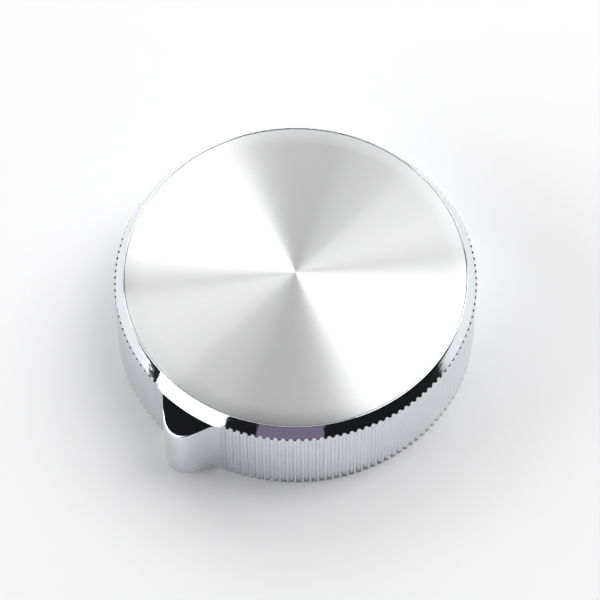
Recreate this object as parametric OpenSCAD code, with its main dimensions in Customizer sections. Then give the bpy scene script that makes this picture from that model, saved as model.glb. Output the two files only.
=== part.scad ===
// Dryer timer knob: a chrome-plated cup with a fluted skirt and a pointer, a spun face disc
// bonded into its top, and a plain moulded hub with a spring clip staked inside it.
// Millimetres. The origin is on the knob's axis in the plane that it stands on. +Z runs out of
// the panel towards the face, and the pointer points along -Y.

/* [Knob] */
// Height from the panel side to the face
knob_h = 19.3; // [17:0.1:24]
// Diameter over the crests of the skirt at its open end
skirt_base_d = 70; // [66:0.5:80]
// Draft of every wall that the mould pulls along the axis, in degrees
draft = 1.3; // [0.5:0.1:2]
// Radial wall of the skirt at its open end
skirt_wall = 1.9; // [1.6:0.1:2.6]
// Thickness of the floor under the face disc
floor_t = 1.8; // [1.2:0.1:2.4]
// Radius of the inside corner between the skirt and the floor
corner_r = 1.2; // [0.6:0.1:1.6]

/* [Rim and bevel] */
// Rounding of the narrow rim round the face disc
rim_r = 0.2; // [0.15:0.05:0.4]
// Depth of the bevel's foot below the face
bevel_drop = 2.4; // [2:0.05:3]

/* [Flutes] */
// Flute positions round the whole skirt, those that the pointer takes up included
flute_count = 152; // [120:2:160]
// Radius of a flute at the bevel's foot
flute_top_r = 0.68; // [0.5:0.01:0.7]
// Radius of a flute at the open end, where the mould's draft has narrowed it
flute_base_r = 0.42; // [0.3:0.01:0.5]
// Angle from the pointer to where the flutes start, in degrees
flute_start = 12.5; // [12:0.5:20]

/* [Pointer] */
// Radius of the pointer's rounded nose at the open end
nose_r = 4.35; // [4:0.05:5.5]
// Reach of the pointer from the knob's axis
pointer_reach = 39.65; // [38.5:0.05:43]
// Angle between a flank of the pointer and its axis, in degrees
pointer_flank = 38; // [32:1:42]
// Radius of the hollow blend from the pointer into the skirt
blend_r = 2.6; // [2:0.1:3.4]
// Fall of the pointer's top towards its nose, in degrees
pointer_fall = 27; // [5:1:35]
// Wall left round the core that hollows the pointer out
pointer_wall = 1.8; // [1.4:0.1:2.4]

/* [Face disc] */
// Diameter of the spun face disc
disc_d = 65; // [60:0.1:65.2]
// Thickness of the face disc
disc_t = 0.8; // [0.5:0.05:1.2]
// Gap between the face disc and the wall of its recess
disc_gap = 0.1; // [0.05:0.05:0.2]
// Bevel on the face disc's upper edge
disc_edge = 0.12; // [0.05:0.01:0.2]
// Thickness of the bonding film under the disc
film_t = 0.15; // [0.1:0.05:0.25]
// Distance that the film stops short of the disc's edge
film_inset = 0.6; // [0.2:0.1:2]

/* [Hub] */
// Outside diameter of the hub's flange
flange_d = 44; // [40:0.5:50]
// Thickness of the hub's flange
flange_t = 2; // [1.5:0.1:2.5]
// Height of the stiffening rim round the flange
flange_rim_h = 3; // [1:0.1:4]
// Outside diameter of the boss that takes the shaft
boss_d = 13; // [12:0.1:15]
// Number of ribs between the boss and the flange's rim, a multiple of the three stakes
rib_count = 6; // [3:3:9]
// Thickness of a rib and of the flange's rim
rib_t = 1.4; // [1:0.1:1.8]
// Height at which a rib meets the boss, above the open end
rib_foot = 6.5; // [6:0.1:8]

/* [Shaft socket] */
// Diameter of the timer shaft
shaft_d = 6.35; // [6:0.05:6.5]
// Size of the shaft across its flat
shaft_flat = 4.8; // [4.5:0.05:5.2]
// Clearance all round the shaft in the D-shaped socket
socket_clear = 0.05; // [0.02:0.01:0.12]
// Depth of the socket from the open end
socket_depth = 12.5; // [10:0.1:13]
// Diameter of the round lead-in at the socket's mouth
lead_d = 7; // [6.9:0.05:7.3]
// Length of the round lead-in
lead_len = 2.5; // [2:0.1:3]
// Width of the slots that let the boss spring
slot_w = 1.2; // [0.8:0.1:1.5]
// Depth of those slots from the open end
slot_depth = 10; // [8:0.1:11]

/* [Spring clip] */
// Thickness of the clip's spring strip
clip_t = 0.6; // [0.4:0.05:0.8]
// Width of the strip
clip_w = 3.6; // [3:0.1:4]
// Height of the clip above the open end
clip_z = 1.8; // [1.2:0.1:2.2]
// Depth of the clip's groove in the boss
groove_d = 0.4; // [0.2:0.05:0.5]
// Clearance between the clip and its groove
clip_clear = 0.05; // [0.03:0.01:0.08]
// Opening of the clip, in degrees
clip_gap = 70; // [40:5:90]

/* [Stakes] */
// Diameter of a stake
stake_d = 3; // [2.5:0.1:3.5]
// Diameter of a stake's formed head
stake_head_d = 5; // [4.6:0.1:5.6]
// Height of a stake's formed head
stake_head_h = 1; // [0.8:0.1:1.4]
// Distance of the stakes from the axis
stake_ring_r = 16; // [15:0.1:17]
// Clearance between a stake and its hole in the flange
stake_clear = 0.1; // [0.05:0.01:0.15]

/* [Hidden] */
$fn = 96;
// Overlap that keeps cut faces clean
eps = 0.01;
// Length by which a cut runs out past the faces that it opens
over = 1;

function drafted(h) = h * tan(draft);

// Heights
recess_floor_z = knob_h - disc_t - film_t;
ceiling_z = recess_floor_z - floor_t;
foot_z = knob_h - bevel_drop;
flange_z = ceiling_z - flange_t;

// Radii of the cup
skirt_r = skirt_base_d / 2;
crest_r = skirt_r - drafted(foot_z);
recess_r = disc_d / 2 + disc_gap;
cup_r = skirt_r - skirt_wall;
// Centre of the rounding between the drafted inner wall and the floor
corner_z = ceiling_z - corner_r;
corner_c = [cup_r - drafted(corner_z) - corner_r / cos(draft), corner_z];

// The rim's rounding, and where the bevel leaves it as its tangent
rim_c = [recess_r + rim_r, knob_h - rim_r];
rim_to_foot = [crest_r, foot_z] - rim_c;
rim_turn = atan2(rim_to_foot[1], rim_to_foot[0]) + acos(rim_r / norm(rim_to_foot));
bevel_top = rim_c + rim_r * [cos(rim_turn), sin(rim_turn)];

// Flutes
flute_pitch = 360 / flute_count;
flute_lean = atan2(skirt_r - crest_r, foot_z);
flute_rise = (flute_top_r - flute_base_r) / foot_z;
// A flute runs on past the bevel's foot, so that it cuts its dome into the bevel
flute_over = 2;
// It starts below the open end, for a clean edge
flute_under = 0.5;

// Pointer, laid out along +X and then turned
pointer_turn = -90;
nose_c = pointer_reach - nose_r;
// Turn of the flank's outward normal, and the flank's distance from the knob's axis
flank_turn = 90 - pointer_flank;
flank_off = nose_c * cos(flank_turn) + nose_r;
// Centre of the blend, which touches the flank and the skirt: along the flank's normal and beside it
blend_out = flank_off + blend_r;
blend_side = sqrt(pow(skirt_r + blend_r, 2) - blend_out * blend_out);
blend_u = blend_out * cos(flank_turn) + blend_side * sin(flank_turn);
blend_v = blend_out * sin(flank_turn) - blend_side * cos(flank_turn);
// The core sits a little behind the nose, so that it opens into the cup at every height
core_set = 0.7;
core_c = nose_c - core_set;
core_r = nose_r - pointer_wall + core_set / 2;
core_h = foot_z - (pointer_reach - crest_r) * tan(pointer_fall) - pointer_wall;

// Hub
boss_r = boss_d / 2;
flange_r = flange_d / 2;
socket_r = shaft_d / 2 + socket_clear;
socket_flat = shaft_flat - shaft_d / 2 + socket_clear;
rib_tip_z = flange_z - flange_rim_h;
clip_in_r = boss_r - groove_d + clip_clear;
clip_out_r = clip_in_r + clip_t;
// A rib starts this far inside the boss
rib_root = 1;
// The stakes sit midway between ribs
stake_count = 3;
stake_turn = 180 / rib_count - 360 / stake_count;

// Half of the cup's outer section, from the axis to the crests, with the disc's recess
module cup_section() {
    polygon([
        [0, 0],
        [skirt_r, 0],
        [crest_r, foot_z],
        bevel_top,
        rim_c,
        [recess_r, rim_c[1]],
        [recess_r, recess_floor_z],
        [0, recess_floor_z]
    ]);
    translate(rim_c) circle(r = rim_r);
}

// Half of the hollow under the floor, from below the open end, with a rounded corner
module hollow_section() {
    polygon([
        [0, -over],
        [cup_r + drafted(over), -over],
        corner_c + corner_r * [cos(draft), sin(draft)],
        corner_c,
        [corner_c[0], ceiling_z],
        [0, ceiling_z]
    ]);
    translate(corner_c) circle(r = corner_r);
}

// One flute: a cone that leans with the skirt's draft and widens towards the bevel
module flute() {
    length = flute_under + foot_z + flute_over;
    translate([skirt_r, 0, 0])
        rotate([0, -flute_lean, 0])
            translate([0, 0, -flute_under])
                cylinder(
                    h = length,
                    r1 = flute_base_r - flute_rise * flute_under,
                    r2 = flute_base_r + flute_rise * (length - flute_under)
                );
}

module flutes() {
    for (i = [0 : flute_count - 1])
        let (turn = (i + 0.5) * flute_pitch)
            if (turn > flute_start && turn < 360 - flute_start)
                rotate([0, 0, pointer_turn + turn]) flute();
}

// Everything outside one flank of the pointer, which leans in with the draft
module off_flank(side) {
    reach = 2 * pointer_reach;
    rotate([0, 0, side * flank_turn])
        translate([flank_off, 0, 0])
            rotate([0, -draft, 0])
                translate([0, -reach / 2, -reach / 2])
                    cube([reach, reach, reach]);
}

// The pointer's outline: a rounded nose and two straight flanks, run into the skirt by blends
module pointer_block() {
    // The web's corners lie outside the flanks that trim it
    web_u = nose_c + 1.2 * nose_r * cos(flank_turn);
    web_v = 1.2 * nose_r * sin(flank_turn);
    difference() {
        linear_extrude(height = foot_z)
            polygon([
                [0, 0],
                [blend_u, -blend_v],
                [web_u, -web_v],
                [nose_c, 0],
                [web_u, web_v],
                [blend_u, blend_v]
            ]);
        for (side = [-1, 1]) {
            off_flank(side);
            translate([blend_u, side * blend_v, -eps])
                cylinder(h = foot_z + 2 * eps, r1 = blend_r, r2 = blend_r + drafted(foot_z));
        }
    }
    translate([nose_c, 0, 0])
        cylinder(h = foot_z, r1 = nose_r, r2 = nose_r - drafted(foot_z));
}

module pointer() {
    cut = 2 * pointer_reach;
    rotate([0, 0, pointer_turn])
        difference() {
            pointer_block();
            translate([crest_r, -cut / 2, foot_z])
                rotate([0, pointer_fall, 0])
                    translate([-crest_r / 2, 0, 0])
                        cube([cut, cut, cut]);
        }
}

// Core that hollows the pointer out from the open side
module pointer_core() {
    rotate([0, 0, pointer_turn])
        translate([core_c, 0, -over])
            cylinder(h = core_h + over, r1 = core_r, r2 = core_r - drafted(core_h));
}

// A stake with its formed head, hanging from the floor of the cup
module stake() {
    translate([0, 0, flange_z])
        cylinder(h = flange_t + eps, d = stake_d);
    translate([0, 0, flange_z - stake_head_h])
        cylinder(h = stake_head_h, d1 = stake_d, d2 = stake_head_d);
}

module at_stakes() {
    for (i = [0 : stake_count - 1])
        rotate([0, 0, stake_turn + i * 360 / stake_count])
            translate([stake_ring_r, 0, 0])
                children();
}

module knob_shell() {
    color("gainsboro") {
        difference() {
            union() {
                difference() {
                    rotate_extrude() cup_section();
                    flutes();
                }
                pointer();
            }
            rotate_extrude() hollow_section();
            pointer_core();
        }
        at_stakes() stake();
    }
}

module face_disc() {
    color("silver")
        translate([0, 0, knob_h - disc_t]) {
            cylinder(h = disc_t - disc_edge, d = disc_d);
            translate([0, 0, disc_t - disc_edge])
                cylinder(h = disc_edge, d1 = disc_d, d2 = disc_d - 2 * disc_edge);
        }
}

module disc_film() {
    color("ivory")
        translate([0, 0, recess_floor_z])
            cylinder(h = film_t, r = disc_d / 2 - film_inset);
}

// One rib, from the boss down the flange to its rim
module rib() {
    translate([0, rib_t / 2, 0])
        rotate([90, 0, 0])
            linear_extrude(height = rib_t)
                polygon([
                    [boss_r - rib_root, rib_foot],
                    [boss_r, rib_foot],
                    [flange_r - rib_t, rib_tip_z],
                    [flange_r - rib_t / 2, rib_tip_z],
                    [flange_r - rib_t / 2, flange_z + eps],
                    [boss_r - rib_root, flange_z + eps]
                ]);
}

// The D-shaped socket with its round lead-in
module socket() {
    translate([0, 0, -over])
        cylinder(h = lead_len + over, d = lead_d);
    difference() {
        cylinder(h = socket_depth, r = socket_r);
        translate([-socket_r, socket_flat, -over])
            cube([2 * socket_r, socket_r, socket_depth + 2 * over]);
    }
}

module hub_insert() {
    color("whitesmoke")
        difference() {
            union() {
                translate([0, 0, flange_z])
                    cylinder(h = flange_t, r = flange_r);
                difference() {
                    translate([0, 0, rib_tip_z])
                        cylinder(h = flange_rim_h + eps, r = flange_r);
                    translate([0, 0, rib_tip_z - over])
                        cylinder(h = flange_rim_h + over, r = flange_r - rib_t);
                }
                cylinder(h = flange_z + eps, r = boss_r);
                for (i = [0 : rib_count - 1])
                    rotate([0, 0, i * 360 / rib_count]) rib();
            }
            socket();
            translate([-boss_r - over, -slot_w / 2, -over])
                cube([2 * (boss_r + over), slot_w, slot_depth + over]);
            clip_groove();
            at_stakes()
                translate([0, 0, flange_z - over])
                    cylinder(h = flange_t + 2 * over, d = stake_d + 2 * stake_clear);
        }
}

// Groove round the boss that keeps the clip in its place
module clip_groove() {
    translate([0, 0, clip_z - clip_clear])
        difference() {
            cylinder(h = clip_w + 2 * clip_clear, r = boss_r + over);
            translate([0, 0, -over])
                cylinder(h = clip_w + 2 * over, r = boss_r - groove_d);
        }
}

module shaft_clip() {
    reach = 2 * clip_out_r;
    color("dimgray")
        translate([0, 0, clip_z])
            difference() {
                cylinder(h = clip_w, r = clip_out_r);
                translate([0, 0, -over])
                    cylinder(h = clip_w + 2 * over, r = clip_in_r);
                translate([0, 0, -over])
                    linear_extrude(height = clip_w + 2 * over)
                        polygon([
                            [0, 0],
                            reach * [sin(clip_gap / 2), cos(clip_gap / 2)],
                            reach * [-sin(clip_gap / 2), cos(clip_gap / 2)]
                        ]);
            }
}

knob_shell();
face_disc();
disc_film();
hub_insert();
shaft_clip();
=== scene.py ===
import math

import bmesh
import bpy
import numpy as np
from mathutils import Matrix, Vector


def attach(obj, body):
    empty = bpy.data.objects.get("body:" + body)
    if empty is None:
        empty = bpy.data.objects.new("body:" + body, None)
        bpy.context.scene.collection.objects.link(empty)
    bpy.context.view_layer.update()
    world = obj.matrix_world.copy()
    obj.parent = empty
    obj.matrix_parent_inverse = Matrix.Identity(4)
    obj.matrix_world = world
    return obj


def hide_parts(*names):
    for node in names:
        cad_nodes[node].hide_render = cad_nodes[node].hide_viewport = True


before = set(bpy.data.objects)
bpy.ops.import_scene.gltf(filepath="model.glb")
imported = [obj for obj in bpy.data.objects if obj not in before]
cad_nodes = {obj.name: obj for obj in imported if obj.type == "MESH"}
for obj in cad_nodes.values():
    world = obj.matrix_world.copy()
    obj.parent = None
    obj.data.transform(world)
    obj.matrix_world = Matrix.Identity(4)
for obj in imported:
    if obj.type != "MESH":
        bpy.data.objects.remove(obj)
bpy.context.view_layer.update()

MM = 0.001
FULL_TURN = 2 * math.pi

# ---------------------------------------------------------------- sizes, mm, as in the CAD
KNOB_H = 19.3
SKIRT_R = 35.0
TAN_DRAFT = math.tan(math.radians(1.3))
CUP_R = 33.1
FLOOR_T = 1.8
CORNER_R = 1.2
FOOT_Z = KNOB_H - 2.4
DISC_R = 32.5
DISC_T = 0.8
DISC_GAP = 0.1
FILM_T = 0.15
FLUTES = 152
FLUTE_START = 12.5
NOSE_R = 4.35
REACH = 39.65
FLANK = math.radians(90 - 38)
BLEND_R = 2.6
FALL = math.radians(27)
POINTER_WALL = 1.8
CORE_SET = 0.7
STAKE_R = 1.5
STAKE_HEAD_R = 2.5
STAKE_HEAD_H = 1.0
STAKE_RING = 16.0
STAKE_TURNS = (-90, 30, 150)
FLANGE_T = 2.0

# ---------------------------------------------------------------- sizes that follow
RECESS_R = DISC_R + DISC_GAP
RECESS_Z = KNOB_H - DISC_T - FILM_T
CEILING_Z = RECESS_Z - FLOOR_T
FLANGE_Z = CEILING_Z - FLANGE_T
CREST_R = SKIRT_R - FOOT_Z * TAN_DRAFT
PITCH = FULL_TURN / FLUTES
NOSE_C = REACH - NOSE_R
FLANK_OFF = NOSE_C * math.cos(FLANK) + NOSE_R
BLEND_OUT = FLANK_OFF + BLEND_R
BLEND_SIDE = math.sqrt((SKIRT_R + BLEND_R) ** 2 - BLEND_OUT**2)
BLEND_U = BLEND_OUT * math.cos(FLANK) + BLEND_SIDE * math.sin(FLANK)
BLEND_V = BLEND_OUT * math.sin(FLANK) - BLEND_SIDE * math.cos(FLANK)
BLEND_TURN = math.atan2(BLEND_V, BLEND_U)
CORE_C = NOSE_C - CORE_SET
CORE_R = NOSE_R - POINTER_WALL + CORE_SET / 2
CORE_H = FOOT_Z - (REACH - CREST_R) * math.tan(FALL) - POINTER_WALL

# ---------------------------------------------------------------- finer forms than in the CAD
# The flutes are shallow arcs, their centres a little outside the crests
FLUTE_R = 0.54
FLUTE_OUT = 0.19
RIM_R = 0.12
RIM_C = np.array([RECESS_R + RIM_R, KNOB_H - RIM_R])
_to_foot = np.array([CREST_R, FOOT_Z]) - RIM_C
RIM_TURN = math.atan2(_to_foot[1], _to_foot[0]) + math.acos(RIM_R / np.linalg.norm(_to_foot))
BEVEL_TOP = RIM_C + RIM_R * np.array([math.cos(RIM_TURN), math.sin(RIM_TURN)])
# Between two flutes the land stands up a little past the bevel's foot and ends in a tiny flat tip
TIP_RISE = 0.3
TIP_Z = FOOT_Z + TIP_RISE
TIP_R = CREST_R + (BEVEL_TOP[0] - CREST_R) * (TIP_Z - FOOT_Z) / (BEVEL_TOP[1] - FOOT_Z)
TIP = np.array([TIP_R, TIP_Z])
BEVEL_CROWN = 0.002
# Roundings: a flute's top edge, a land's tip, and the pointer's top edge at its nose
FLUTE_EDGE = 0.06
TIP_EDGE = 0.012
NOSE_EDGE = 0.8
# Distance from the knob's axis at which the nose's rounding starts, and where it is full
NOSE_EDGE_FROM = 36.4
NOSE_EDGE_FULL = 38.3
POINTER_AXIS = -math.pi / 2


def crest(z):
    return SKIRT_R - z * TAN_DRAFT


def flute_point(part, z):
    """A point across a flute at height z, where part runs from -1 at one land to 1 at the next."""
    rc = crest(z)
    mid = rc + FLUTE_OUT
    phi = part * math.acos((mid**2 + FLUTE_R**2 - rc**2) / (2 * mid * FLUTE_R))
    return np.array([mid - FLUTE_R * math.cos(phi), FLUTE_R * math.sin(phi), z])


def flute_side(z):
    x, y, _z = flute_point(1.0, z)
    return math.atan2(y, x)


BEVEL_WAY = BEVEL_TOP - TIP
BEVEL_OUT = np.array([BEVEL_WAY[1], -BEVEL_WAY[0]]) / np.linalg.norm(BEVEL_WAY)


def bevel_point(t):
    """A point of the slightly crowned bevel: 0 at the tips, 1 at the rim, straight on below 0."""
    bulge = 4 * t * (1 - t) if t > 0 else 4 * t
    return TIP + BEVEL_WAY * t + BEVEL_OUT * BEVEL_CROWN * bulge


def bisect(lo, hi, is_below):
    """The place between lo and hi where is_below turns from true to false."""
    for _ in range(40):
        mid = (lo + hi) / 2
        lo, hi = (mid, hi) if is_below(mid) else (lo, mid)
    return (lo + hi) / 2


def bevel_t(z):
    return bisect(-1.0, 1.0, lambda t: bevel_point(t)[1] < z)


def bevel_r(z):
    return bevel_point(bevel_t(z))[0]


# The pointer's top leaves the bevel this far below its foot and falls away from the knob's axis
SHIELD_DROP = 0.2
SHIELD_Z = FOOT_Z - SHIELD_DROP
SHIELD_T = bevel_t(SHIELD_Z)
SHIELD_R = bevel_r(SHIELD_Z)
BEVEL_RUN = (SHIELD_Z - TIP_Z) / (SHIELD_R - TIP_R)


def pointer_top(x, y):
    """Height of the pointer's top: the bevel run on, then a gentler fall to the nose."""
    r = math.hypot(x, y)
    slope = BEVEL_RUN if r <= SHIELD_R else -math.tan(FALL)
    return SHIELD_Z + (r - SHIELD_R) * slope


# ---------------------------------------------------------------- mesh helpers
DOUBLE = 2e-4
DEGENERATE = 1e-5
# A rounding takes at most this share of the shorter side of its corner
CORNER_SHARE = 0.8


def make_object(name, verts, faces, sharp_angle=30.0):
    """A mesh object from points in mm, with doubles merged and edges sharp past an angle."""
    mesh = bpy.data.meshes.new(name)
    mesh.from_pydata((np.asarray(verts, float) * MM).tolist(), [], faces)
    mesh.update()
    obj = bpy.data.objects.new(name, mesh)
    bpy.context.scene.collection.objects.link(obj)
    bm = bmesh.new()
    bm.from_mesh(mesh)
    bmesh.ops.remove_doubles(bm, verts=bm.verts, dist=DOUBLE * MM)
    bmesh.ops.dissolve_degenerate(bm, dist=DEGENERATE * MM, edges=bm.edges)
    bmesh.ops.recalc_face_normals(bm, faces=bm.faces)
    bm.to_mesh(mesh)
    bm.free()
    mesh.shade_smooth()
    mesh.set_sharp_from_angle(angle=math.radians(sharp_angle))
    return obj


def stitch(outer, outer_turn, inner, inner_turn):
    """Triangles between two closed rings of vertex numbers, walked in step with their angles."""
    faces = []
    n, m = len(outer), len(inner)
    i = j = 0
    while i < n or j < m:
        next_o = outer_turn[i + 1] if i < n else math.inf
        next_i = inner_turn[j + 1] if j < m else math.inf
        if next_o <= next_i:
            faces.append((outer[i % n], outer[(i + 1) % n], inner[j % m]))
            i += 1
        else:
            faces.append((outer[i % n], inner[(j + 1) % m], inner[j % m]))
            j += 1
    return faces


def strip(rows):
    """Quads between closed rings of equal length."""
    faces = []
    for a, b in zip(rows[:-1], rows[1:]):
        n = len(a)
        for i in range(n):
            k = (i + 1) % n
            faces.append((a[i], a[k], b[k], b[i]))
    return faces


def round_corner(a, corner, b, radius, count):
    """Points of an arc that rounds the corner between a and b, all given as 3-D points."""
    u = a - corner
    v = b - corner
    lu, lv = np.linalg.norm(u), np.linalg.norm(v)
    u, v = u / lu, v / lv
    half = 0.5 * math.acos(max(-1.0, min(1.0, float(u @ v))))
    back = radius / math.tan(half)
    limit = CORNER_SHARE * min(lu, lv)
    if back > limit:
        back = limit
        radius = back * math.tan(half)
    mid = u + v
    centre = corner + mid / np.linalg.norm(mid) * radius / math.sin(half)
    p, q = corner + u * back - centre, corner + v * back - centre
    turn = math.acos(max(-1.0, min(1.0, float(p @ q) / radius**2)))
    out = []
    for k in range(count):
        t = k / (count - 1)
        way = math.sin((1 - t) * turn) * p + math.sin(t * turn) * q
        out.append(centre + way / math.sin(turn))
    return out


# ---------------------------------------------------------------- the cup's outer columns
# Every column runs from the open end up its wall, over the top edge and up the bevel to the rim.
# It is a list of points in the pointer's frame, whose +X is the pointer's direction.
WALL_STEPS = (0.0, 0.012, 0.18, 0.36, 0.54, 0.7, 0.84, 0.94, 1.0)
BEVEL_STEPS = 6
RIM_STEPS = 10
EDGE_STEPS = 6
# Way in from a land's crest to the foot of the bevel, over the flat tip
TIP_STEPS = (0.3, 0.5, 0.75, 1.0)
# The straight wall stops this far below its rounded top edge, and more where that edge is large
WALL_MARGIN = 0.2
WALL_MARGIN_PER_EDGE = 1.3


def polar(r, turn, z):
    return np.array([r * math.cos(turn), r * math.sin(turn), z])


def on_bevel(t, turn):
    r, z = bevel_point(t)
    return polar(r, turn, z)


def top_of_column(turn, t_start):
    """Bevel from t_start to the rim, the rim's rounding and the recess wall, at one angle."""
    points = []
    for k in range(1, BEVEL_STEPS + 1):
        points.append(on_bevel(t_start + (1 - t_start) * k / BEVEL_STEPS, turn))
    for k in range(1, RIM_STEPS):
        a = RIM_TURN + (math.pi - RIM_TURN) * k / (RIM_STEPS - 1)
        r, z = RIM_C + RIM_R * np.array([math.cos(a), math.sin(a)])
        points.append(polar(r, turn, z))
    points.append(polar(RECESS_R, turn, RECESS_Z))
    return points


def column(at, top_z, inward, edge, turn, t_start):
    """A wall up to top_z, a rounded edge, the way in to the bevel and the bevel itself."""
    wall_z = top_z - WALL_MARGIN - WALL_MARGIN_PER_EDGE * edge
    wall = [at(step * wall_z) for step in WALL_STEPS]
    arc = round_corner(wall[-1], at(top_z), inward[0], edge, EDGE_STEPS)
    return np.array(wall + arc + inward + top_of_column(turn, t_start))


def tip_column(at, r_top):
    """A column that ends in a flat tip from r_top inward, where at(z) is a point of the wall."""
    corner = at(TIP_Z)
    turn = math.atan2(corner[1], corner[0])
    inward = [polar(r_top + (TIP_R - r_top) * f, turn, TIP_Z) for f in TIP_STEPS]
    inward.append(on_bevel(0.5 / BEVEL_STEPS, turn))
    return column(at, TIP_Z, inward, TIP_EDGE, turn, 0.0)


def flute_column(part):
    """A column in a flute, where part runs from -1 at one land to 1 at the next."""

    def at(z):
        return flute_point(part, z)

    def radius(z):
        return math.hypot(*at(z)[:2])

    if radius(TIP_Z) > TIP_R:
        return tip_column(at, radius(TIP_Z))
    top_z = bisect(TIP_Z, BEVEL_TOP[1], lambda z: radius(z) < bevel_r(z))
    t_go = bevel_t(top_z)
    corner = at(top_z)
    turn = math.atan2(corner[1], corner[0])
    span = (1 - t_go) / BEVEL_STEPS
    inward = [on_bevel(t_go + span * f, turn) for f in (0.15, 0.3, 0.45, 0.6, 0.75)]
    return column(at, top_z, inward, FLUTE_EDGE, turn, t_go)


def land_column(f):
    """A column on the land after a flute, where f is 0 at that flute and 1 at the next."""

    def at(z):
        side = flute_side(z)
        return polar(crest(z), side + f * (PITCH - 2 * side), z)

    return tip_column(at, CREST_R)


def pointer_column(at, edge):
    """A column on the pointer or the plain wall beside it, where at(z) is a point of the wall."""
    top_z = bisect(0.0, TIP_Z, lambda z: z < pointer_top(*at(z)[:2]))
    corner = at(top_z)
    turn = math.atan2(corner[1], corner[0])
    r_top = math.hypot(corner[0], corner[1])
    inward = []
    if r_top > SHIELD_R:
        for f in (0.35, 0.7, 1.0):
            x, y, _z = polar(r_top + (SHIELD_R - r_top) * f, turn, 0)
            inward.append(np.array([x, y, pointer_top(x, y)]))
        t_go = SHIELD_T
    else:
        t_go = bevel_t(top_z)
        inward = [on_bevel(t_go * (1 - f), turn) for f in (0.2, 0.4, 0.6)]
        t_go *= 0.4
    for f in (0.5, 1.0):
        inward.append(on_bevel(t_go * (1 - f), turn))
    return column(at, top_z, inward, edge, turn, 0.0)


def outline(count_nose=18, count_flank=10, count_blend=14):
    """Half of the pointer's outline from the nose's tip to the plain wall, with its normals."""
    points = []
    for k in range(count_nose):
        a = FLANK * k / count_nose
        n = np.array([math.cos(a), math.sin(a)])
        points.append((np.array([NOSE_C, 0]) + NOSE_R * n, n))
    n = np.array([math.cos(FLANK), math.sin(FLANK)])
    start = np.array([NOSE_C, 0]) + NOSE_R * n
    end = np.array([BLEND_U, BLEND_V]) - BLEND_R * n
    for k in range(count_flank):
        points.append((start + (end - start) * k / count_flank, n))
    for k in range(count_blend + 1):
        a = FLANK + (BLEND_TURN - FLANK) * k / count_blend
        n = np.array([math.cos(a), math.sin(a)])
        points.append((np.array([BLEND_U, BLEND_V]) - BLEND_R * n, n))
    return points


def edge_radius(x):
    """The rounding of the pointer's top edge: full round the nose, fading out along the flanks."""
    f = min(1.0, max(0.0, (x - NOSE_EDGE_FROM) / (NOSE_EDGE_FULL - NOSE_EDGE_FROM)))
    return FLUTE_EDGE + (NOSE_EDGE - FLUTE_EDGE) * f * f * (3 - 2 * f)


def turned(columns, turn):
    c, s = math.cos(turn), math.sin(turn)
    return columns @ np.array([[c, s, 0], [-s, c, 0], [0, 0, 1]])


def all_columns(across, between):
    """Every outer column, counter-clockwise from the pointer's tip."""
    first = next(i for i in range(FLUTES) if (i + 0.5) * PITCH > math.radians(FLUTE_START))
    one = [flute_column(2 * k / across - 1) for k in range(across + 1)]
    lands = [land_column(k / between) for k in range(1, between)]
    pitch_of_columns = np.array(one + lands)
    pointer = []
    for base, normal in outline():

        def at(z, base=base, normal=normal):
            x, y = base - normal * TAN_DRAFT * z
            return np.array([x, y, z])

        pointer.append(pointer_column(at, edge_radius(base[0])))
    tail = math.atan2(base[1], base[0])
    first_turn = (first + 0.5) * PITCH
    for f in (0.35, 0.7):

        def at(z, f=f):
            return polar(crest(z), tail + f * (first_turn - flute_side(z) - tail), z)

        pointer.append(pointer_column(at, FLUTE_EDGE))
    pointer = np.array(pointer)
    sets = [pointer]
    for i in range(first, FLUTES - first):
        here = pitch_of_columns if i < FLUTES - 1 - first else pitch_of_columns[: across + 1]
        sets.append(turned(here, (i + 0.5) * PITCH))
    sets.append(pointer[:0:-1] * np.array([1, -1, 1]))
    return np.concatenate(sets)


def inner_ring(z, count_core, count_cup):
    """The inside outline at height z: the cup's round wall, opened by the pointer's core."""
    cup = CUP_R - z * TAN_DRAFT
    core = CORE_R - z * TAN_DRAFT
    meet = math.acos((cup**2 + CORE_C**2 - core**2) / (2 * cup * CORE_C))
    rel = math.atan2(cup * math.sin(meet), cup * math.cos(meet) - CORE_C)
    core_points = []
    for k in range(2 * count_core + 1):
        a = -rel + 2 * rel * k / (2 * count_core)
        core_points.append((CORE_C + core * math.cos(a), core * math.sin(a)))
    cup_points = []
    for k in range(1, count_cup):
        a = meet + (FULL_TURN - 2 * meet) * k / count_cup
        cup_points.append((cup * math.cos(a), cup * math.sin(a)))
    chord = []
    for k in range(2 * count_core + 1):
        a = -meet + 2 * meet * k / (2 * count_core)
        chord.append((cup * math.cos(a), cup * math.sin(a)))
    return core_points, cup_points, chord


# Width of the outer band of the recess's floor, and the points round it
RECESS_BAND = 3
RECESS_STEPS = 120
# Short steps beside an edge inside the cup, which keep its shading tight
CORE_LEAD = 0.15
CORNER_LEAD = 0.1
CORNER_STEPS = 6
CEILING_RING_R = 20
# The part of the pointer's turn that the core's mouth is stitched to
CORE_TURN_SHARE = 0.6


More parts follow.
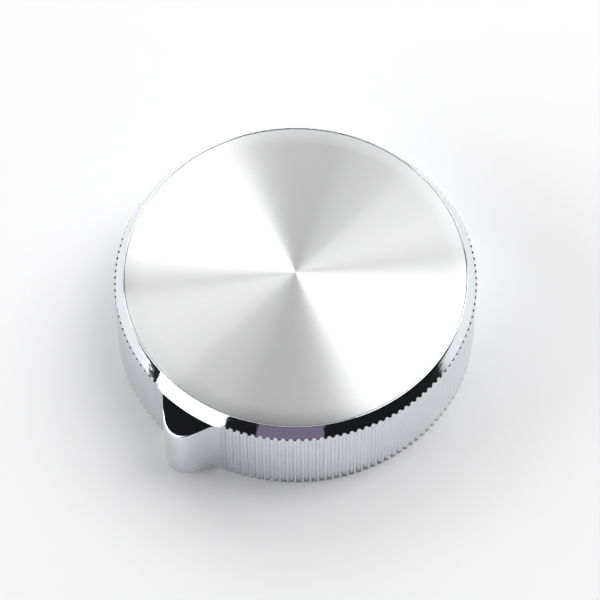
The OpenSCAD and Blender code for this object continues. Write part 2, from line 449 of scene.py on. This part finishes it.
def knob_mesh(across=14, between=2, count_core=8, count_cup=200):
    """The whole cup but for its stakes: across a flute, across a land, round the core and cup."""
    columns = all_columns(across, between)
    n, rows = columns.shape[:2]
    verts = list(columns.reshape(-1, 3))
    ring = [[c * rows + r for c in range(n)] for r in range(rows)]
    faces = strip(ring)

    def add(points):
        start = len(verts)
        verts.extend(np.array(p, float) for p in points)
        return list(range(start, len(verts)))

    def turns_at(row):
        """The angles of the columns' points in one row, from 0 up, and the full turn."""
        turns = [math.atan2(c[row][1], c[row][0]) % FULL_TURN for c in columns]
        turns[0] = 0.0
        return turns + [FULL_TURN]

    def close(last, z):
        """A fan that closes a ring at the axis."""
        centre = add([(0, 0, z)])[0]
        return [(last[k], last[(k + 1) % len(last)], centre) for k in range(len(last))]

    # floor of the recess
    floor_turns = [FULL_TURN * k / RECESS_STEPS for k in range(RECESS_STEPS + 1)]
    floor_ring = add(polar(RECESS_R - RECESS_BAND, t, RECESS_Z) for t in floor_turns[:-1])
    faces += stitch(ring[-1], turns_at(-1), floor_ring, floor_turns)
    faces += close(floor_ring, RECESS_Z)

    # inside: core, cup wall, rounded corner, ceiling
    def full_ring(z, use_core):
        core_points, cup_points, chord = inner_ring(z, count_core, count_cup)
        front = core_points if use_core else chord
        ordered = front[count_core:] + cup_points + front[:count_core]
        return [(x, y, z) for x, y in ordered]

    rings = [add(full_ring(z, True)) for z in (0.0, CORE_LEAD, CORE_H - CORE_LEAD, CORE_H)]
    rings.append(add(full_ring(CORE_H, False)))
    corner_z = CEILING_Z - CORNER_R
    rings.append(add(full_ring(corner_z - CORNER_LEAD, False)))
    corner_c = CUP_R - corner_z * TAN_DRAFT - CORNER_R
    angles = [math.atan2(y, x) for x, y, _z in full_ring(corner_z, False)]
    for k in range(CORNER_STEPS + 1):
        a = math.pi / 2 * k / CORNER_STEPS
        r = corner_c + CORNER_R * math.cos(a)
        z = corner_z + CORNER_R * math.sin(a)
        rings.append(add(polar(r, t, z) for t in angles))
    rings.append(add(polar(CEILING_RING_R, t, CEILING_Z) for t in angles))
    faces += strip(rings)
    faces += close(rings[-1], CEILING_Z)

    # the open end
    inner = rings[0]
    core_turn = BLEND_TURN * CORE_TURN_SHARE
    inner_turns = []
    for k in range(len(inner)):
        left = len(inner) - k
        if k <= count_core:
            inner_turns.append(core_turn * k / count_core)
        elif left <= count_core:
            inner_turns.append(FULL_TURN - core_turn * left / count_core)
        else:
            f = (k - count_core) / (len(inner) - 2 * count_core)
            inner_turns.append(core_turn + f * (FULL_TURN - 2 * core_turn))
    faces += stitch(ring[0], turns_at(0), inner, inner_turns + [FULL_TURN])

    return np.array(verts) @ np.array(Matrix.Rotation(POINTER_AXIS, 3, "Z")).T, faces


def lathe(profile, segments, centre=(0.0, 0.0)):
    """A closed solid of revolution from (r, z) points, which start and end on the axis."""
    verts, rows = [], []
    for r, z in profile:
        if r < 1e-9:
            verts.append((centre[0], centre[1], z))
            rows.append([len(verts) - 1] * segments)
        else:
            start = len(verts)
            for k in range(segments):
                a = FULL_TURN * k / segments
                verts.append((centre[0] + r * math.cos(a), centre[1] + r * math.sin(a), z))
            rows.append(list(range(start, start + segments)))
    faces = []
    for a, b in zip(rows[:-1], rows[1:]):
        for k in range(segments):
            m = (k + 1) % segments
            quad = []
            for v in (a[k], a[m], b[m], b[k]):
                if v not in quad:
                    quad.append(v)
            if len(quad) > 2:
                faces.append(tuple(quad))
    return verts, faces


# ---------------------------------------------------------------- materials
def new_material(name):
    mat = bpy.data.materials.new(name)
    mat.use_nodes = True
    return mat, mat.node_tree.nodes, mat.node_tree.links, mat.node_tree.nodes["Principled BSDF"]


def noise(nodes, links, scale, detail, vector):
    n = nodes.new("ShaderNodeTexNoise")
    n.inputs["Scale"].default_value = scale
    n.inputs["Detail"].default_value = detail
    links.new(vector, n.inputs["Vector"])
    return n.outputs["Fac"]


def map_range(nodes, links, value, a, b, c, d):
    m = nodes.new("ShaderNodeMapRange")
    for name, v in zip(("From Min", "From Max", "To Min", "To Max"), (a, b, c, d)):
        m.inputs[name].default_value = v
    links.new(value, m.inputs["Value"])
    return m.outputs["Result"]


def ramp(nodes, links, value, stops):
    r = nodes.new("ShaderNodeValToRGB")
    while len(r.color_ramp.elements) < len(stops):
        r.color_ramp.elements.new(0.5)
    for e, (pos, col) in zip(r.color_ramp.elements, stops):
        e.position = pos
        e.color = (*col, 1)
    links.new(value, r.inputs["Fac"])
    return r.outputs["Color"]


def bump(nodes, links, height, strength, distance, bsdf):
    b = nodes.new("ShaderNodeBump")
    b.inputs["Strength"].default_value = strength
    b.inputs["Distance"].default_value = distance
    links.new(height, b.inputs["Height"])
    links.new(b.outputs["Normal"], bsdf.inputs["Normal"])


def object_coords(nodes):
    return nodes.new("ShaderNodeTexCoord").outputs["Object"]


def chrome_material():
    mat, nodes, links, bsdf = new_material("chrome_plating")
    where = object_coords(nodes)
    bsdf.inputs["Metallic"].default_value = 1.0
    cloud = noise(nodes, links, 260, 3, where)
    stops = [(0.35, (0.80, 0.825, 0.86)), (0.65, (0.83, 0.85, 0.88))]
    links.new(ramp(nodes, links, cloud, stops), bsdf.inputs["Base Color"])
    links.new(map_range(nodes, links, cloud, 0.3, 0.7, 0.03, 0.055), bsdf.inputs["Roughness"])
    fine = noise(nodes, links, 900, 2, where)
    bump(nodes, links, fine, 0.02, 0.0004, bsdf)
    return mat


def spun_material():
    """Metal with fine turned rings, which stretch its highlights into rays from the centre."""
    mat, nodes, links, bsdf = new_material("spun_metal")
    where = object_coords(nodes)
    bsdf.inputs["Metallic"].default_value = 1.0
    bsdf.inputs["Anisotropic"].default_value = 1.0
    bsdf.inputs["Anisotropic Rotation"].default_value = 0.25
    bsdf.inputs["Roughness"].default_value = 0.393
    tangent = nodes.new("ShaderNodeTangent")
    tangent.direction_type = "RADIAL"
    tangent.axis = "Z"
    links.new(tangent.outputs["Tangent"], bsdf.inputs["Tangent"])
    # The distance from the axis drives a fine one-dimensional noise, which colours the rings
    split = nodes.new("ShaderNodeSeparateXYZ")
    links.new(where, split.inputs["Vector"])
    flat = nodes.new("ShaderNodeCombineXYZ")
    links.new(split.outputs["X"], flat.inputs["X"])
    links.new(split.outputs["Y"], flat.inputs["Y"])
    length = nodes.new("ShaderNodeVectorMath")
    length.operation = "LENGTH"
    links.new(flat.outputs["Vector"], length.inputs[0])
    rings = nodes.new("ShaderNodeTexNoise")
    rings.noise_dimensions = "1D"
    rings.inputs["Scale"].default_value = 5200
    rings.inputs["Detail"].default_value = 3
    links.new(length.outputs["Value"], rings.inputs["W"])
    stops = [(0.3, (0.83, 0.835, 0.84)), (0.7, (0.88, 0.88, 0.885))]
    links.new(ramp(nodes, links, rings.outputs["Fac"], stops), bsdf.inputs["Base Color"])
    return mat


def plastic_material(name, colour, rough):
    mat, nodes, links, bsdf = new_material(name)
    where = object_coords(nodes)
    cloud = noise(nodes, links, 180, 4, where)
    low = tuple(c * 0.93 for c in colour)
    links.new(ramp(nodes, links, cloud, [(0.3, low), (0.7, colour)]), bsdf.inputs["Base Color"])
    sheen = map_range(nodes, links, cloud, 0.3, 0.7, rough - 0.06, rough + 0.06)
    links.new(sheen, bsdf.inputs["Roughness"])
    bump(nodes, links, noise(nodes, links, 2600, 3, where), 0.12, 0.0002, bsdf)
    return mat


def steel_material():
    mat, nodes, links, bsdf = new_material("spring_steel")
    where = object_coords(nodes)
    bsdf.inputs["Metallic"].default_value = 1.0
    stretch = nodes.new("ShaderNodeMapping")
    stretch.inputs["Scale"].default_value = (1, 1, 9)
    links.new(where, stretch.inputs["Vector"])
    grain = noise(nodes, links, 700, 4, stretch.outputs["Vector"])
    stops = [(0.3, (0.20, 0.22, 0.27)), (0.7, (0.34, 0.36, 0.41))]
    links.new(ramp(nodes, links, grain, stops), bsdf.inputs["Base Color"])
    links.new(map_range(nodes, links, grain, 0.3, 0.7, 0.28, 0.45), bsdf.inputs["Roughness"])
    bump(nodes, links, grain, 0.15, 0.0001, bsdf)
    return mat


def film_material():
    mat, nodes, links, bsdf = new_material("bonding_film")
    where = object_coords(nodes)
    cloud = noise(nodes, links, 300, 3, where)
    stops = [(0.3, (0.62, 0.58, 0.48)), (0.7, (0.72, 0.68, 0.58))]
    links.new(ramp(nodes, links, cloud, stops), bsdf.inputs["Base Color"])
    bsdf.inputs["Roughness"].default_value = 0.55
    return mat


def dress(obj, mat):
    obj.data.materials.clear()
    obj.data.materials.append(mat)


# ---------------------------------------------------------------- pieces
# Edges sharper than this stay sharp: the crease between the bevel and the pointer's top has about
# 25 degrees, and the steps of the roundings have less than 17
SHARP = 17
# The stake runs on into the cup's ceiling, so that the two unite
STAKE_ROOT = 0.3
STAKE_EDGE = 0.15
knob = make_object("chrome_cup", *knob_mesh(), sharp_angle=SHARP)
stake_foot = FLANGE_Z - STAKE_HEAD_H
stake_profile = [
    (0, CEILING_Z + STAKE_ROOT),
    (STAKE_R, CEILING_Z + STAKE_ROOT),
    (STAKE_R, FLANGE_Z),
    (STAKE_HEAD_R - STAKE_EDGE, FLANGE_Z),
    (STAKE_HEAD_R, FLANGE_Z - STAKE_EDGE),
    (STAKE_R + 0.6, stake_foot + 0.12),
    (STAKE_R, stake_foot),
    (0, stake_foot),
]
stakes = []
for degrees in STAKE_TURNS:
    x, y, _z = polar(STAKE_RING, math.radians(degrees), 0)
    stakes.append(make_object("stake", *lathe(stake_profile, 40, (x, y))))
for stake in stakes:
    mod = knob.modifiers.new("stake", "BOOLEAN")
    mod.operation = "UNION"
    mod.object = stake
    mod.solver = "MANIFOLD"
bpy.context.view_layer.objects.active = knob
for mod in list(knob.modifiers):
    bpy.ops.object.modifier_apply(modifier=mod.name)
for stake in stakes:
    bpy.data.objects.remove(stake)
knob.data.shade_smooth()
knob.data.set_sharp_from_angle(angle=math.radians(SHARP))
weighted = knob.modifiers.new("weighted", "WEIGHTED_NORMAL")
weighted.keep_sharp = True
weighted.weight = 80
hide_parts("knob_shell")
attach(knob, "root")
dress(knob, chrome_material())

DISC_EDGE = 0.12
DISC_BREAK = 0.05
DISC_RINGS = (0, 0.02, 0.06, 0.12, 0.2, 0.3, 0.42, 0.54, 0.66, 0.78, 0.9, 1.0)
disc_bottom = KNOB_H - DISC_T
disc_profile = [((DISC_R - DISC_EDGE) * f, KNOB_H) for f in DISC_RINGS] + [
    (DISC_R - DISC_BREAK, KNOB_H - 0.03),
    (DISC_R, KNOB_H - DISC_EDGE),
    (DISC_R, disc_bottom + DISC_BREAK),
    (DISC_R - DISC_BREAK, disc_bottom),
    (DISC_R * 0.5, disc_bottom),
    (0, disc_bottom),
]
disc = make_object("spun_disc", *lathe(disc_profile, 480))
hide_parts("face_disc")
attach(disc, "root")
dress(disc, spun_material())

# The pieces out of sight keep the CAD's own meshes
HUB_COLOUR = (0.86, 0.85, 0.82)
dress(cad_nodes["disc_film"], film_material())
dress(cad_nodes["hub_insert"], plastic_material("hub_plastic", HUB_COLOUR, 0.5))
dress(cad_nodes["shaft_clip"], steel_material())

# ---------------------------------------------------------------- floor
FLOOR_COLOUR = (0.82, 0.82, 0.825)
# A hair below the knob's open end, so that the two faces are not in one plane
FLOOR_Z = -0.02
FLOOR_RINGS = (60, 120, 250, 500, 1000, 2500, 6000)
FLOOR_SIDES = 96


def floor_object():
    verts = [(0, 0, FLOOR_Z)]
    for r in FLOOR_RINGS:
        verts += [polar(r, FULL_TURN * k / FLOOR_SIDES, FLOOR_Z) for k in range(FLOOR_SIDES)]
    faces = []
    for k in range(FLOOR_SIDES):
        m = (k + 1) % FLOOR_SIDES
        faces.append((0, 1 + k, 1 + m))
        for i in range(len(FLOOR_RINGS) - 1):
            a, b = 1 + i * FLOOR_SIDES, 1 + (i + 1) * FLOOR_SIDES
            faces.append((a + k, b + k, b + m, a + m))
    mesh = bpy.data.meshes.new("floor")
    mesh.from_pydata([tuple(c * MM for c in v) for v in verts], [], faces)
    obj = bpy.data.objects.new("floor", mesh)
    bpy.context.scene.collection.objects.link(obj)
    mat, _nodes, _links, bsdf = new_material("floor_card")
    bsdf.inputs["Base Color"].default_value = (*FLOOR_COLOUR, 1)
    bsdf.inputs["Roughness"].default_value = 0.9
    bsdf.inputs["Specular IOR Level"].default_value = 0.1
    mesh.materials.append(mat)
    return obj


floor_object()

# ---------------------------------------------------------------- camera
# From a fit to the face's ellipse and the flutes in the photograph: its turn about the knob's axis,
# its place before that turn, its three directions and its lens
CAMERA_TURN = math.radians(36.2)
CAMERA_SPOT = (0, -228.126, 396.966 + KNOB_H)
CAMERA_RIGHT = (0.99996066, -0.0084472, -0.00270732)
CAMERA_UP = (0.0086938, 0.87267866, 0.48821754)
CAMERA_BACK = (-0.00176145, -0.48822187, 0.87271777)
CAMERA_SENSOR = 36
CAMERA_LENS = 144.53

turn = Matrix.Rotation(CAMERA_TURN, 3, "Z")
spot = turn @ (Vector(CAMERA_SPOT) * MM)
sides = [turn @ Vector(side) for side in (CAMERA_RIGHT, CAMERA_UP, CAMERA_BACK)]
camera = bpy.data.objects.new("camera", bpy.data.cameras.new("camera"))
bpy.context.scene.collection.objects.link(camera)
camera.matrix_world = Matrix.Translation(spot) @ Matrix(sides).transposed().to_4x4()
camera.data.sensor_width = CAMERA_SENSOR
camera.data.lens = CAMERA_LENS
bpy.context.scene.camera = camera

# ---------------------------------------------------------------- light
bpy.context.scene.view_settings.view_transform = "Standard"


def area(name, azimuth, elevation, distance, size_x, size_y, power, colour=(1, 1, 1)):
    """A softbox that faces the knob. Azimuths are the picture's: 0 is right, 90 is the far side."""
    lamp = bpy.data.lights.new(name, "AREA")
    lamp.shape = "RECTANGLE"
    lamp.size, lamp.size_y = size_x, size_y
    lamp.energy = power
    lamp.color = colour
    obj = bpy.data.objects.new(name, lamp)
    bpy.context.scene.collection.objects.link(obj)
    a = math.radians(azimuth) + CAMERA_TURN
    e = math.radians(elevation)
    way = Vector((math.cos(e) * math.cos(a), math.cos(e) * math.sin(a), math.sin(e)))
    target = Vector((0, 0, KNOB_H * MM))
    spot = target + way * distance
    look = way.to_track_quat("Z", "Y").to_matrix()
    obj.matrix_world = Matrix.Translation(spot) @ look.to_4x4()
    return obj


# The face mirrors these as its bright rays, and the plating as its white areas
area("key", 20.7, 53.0, 1.0, 0.516, 1.017, 6.6)
area("side", 178.9, 23.5, 1.0, 0.771, 0.40, 4.6)
area("backdrop", 88.7, 38.4, 1.0, 1.71, 0.689, 8.5)
area("low_left", -143.5, 17, 1.0, 0.70, 0.80, 2.9)
# A wide fill from the near right that evens out the floor and isn't mirrored in the metal
fill = area("overhead", -30, 50, 1.4, 1.8, 1.8, 4.6)
fill.visible_glossy = False
# A dim mauve card on the near side, which the bevel mirrors as a patch
area("card", -93, 15, 0.9, 0.50, 0.28, 0.1, (0.83, 0.68, 1.0))

WORLD_COLOUR = (0.012, 0.012, 0.014)
world = bpy.data.worlds.new("studio")
bpy.context.scene.world = world
world.use_nodes = True
world.node_tree.nodes["Background"].inputs["Color"].default_value = (*WORLD_COLOUR, 1)

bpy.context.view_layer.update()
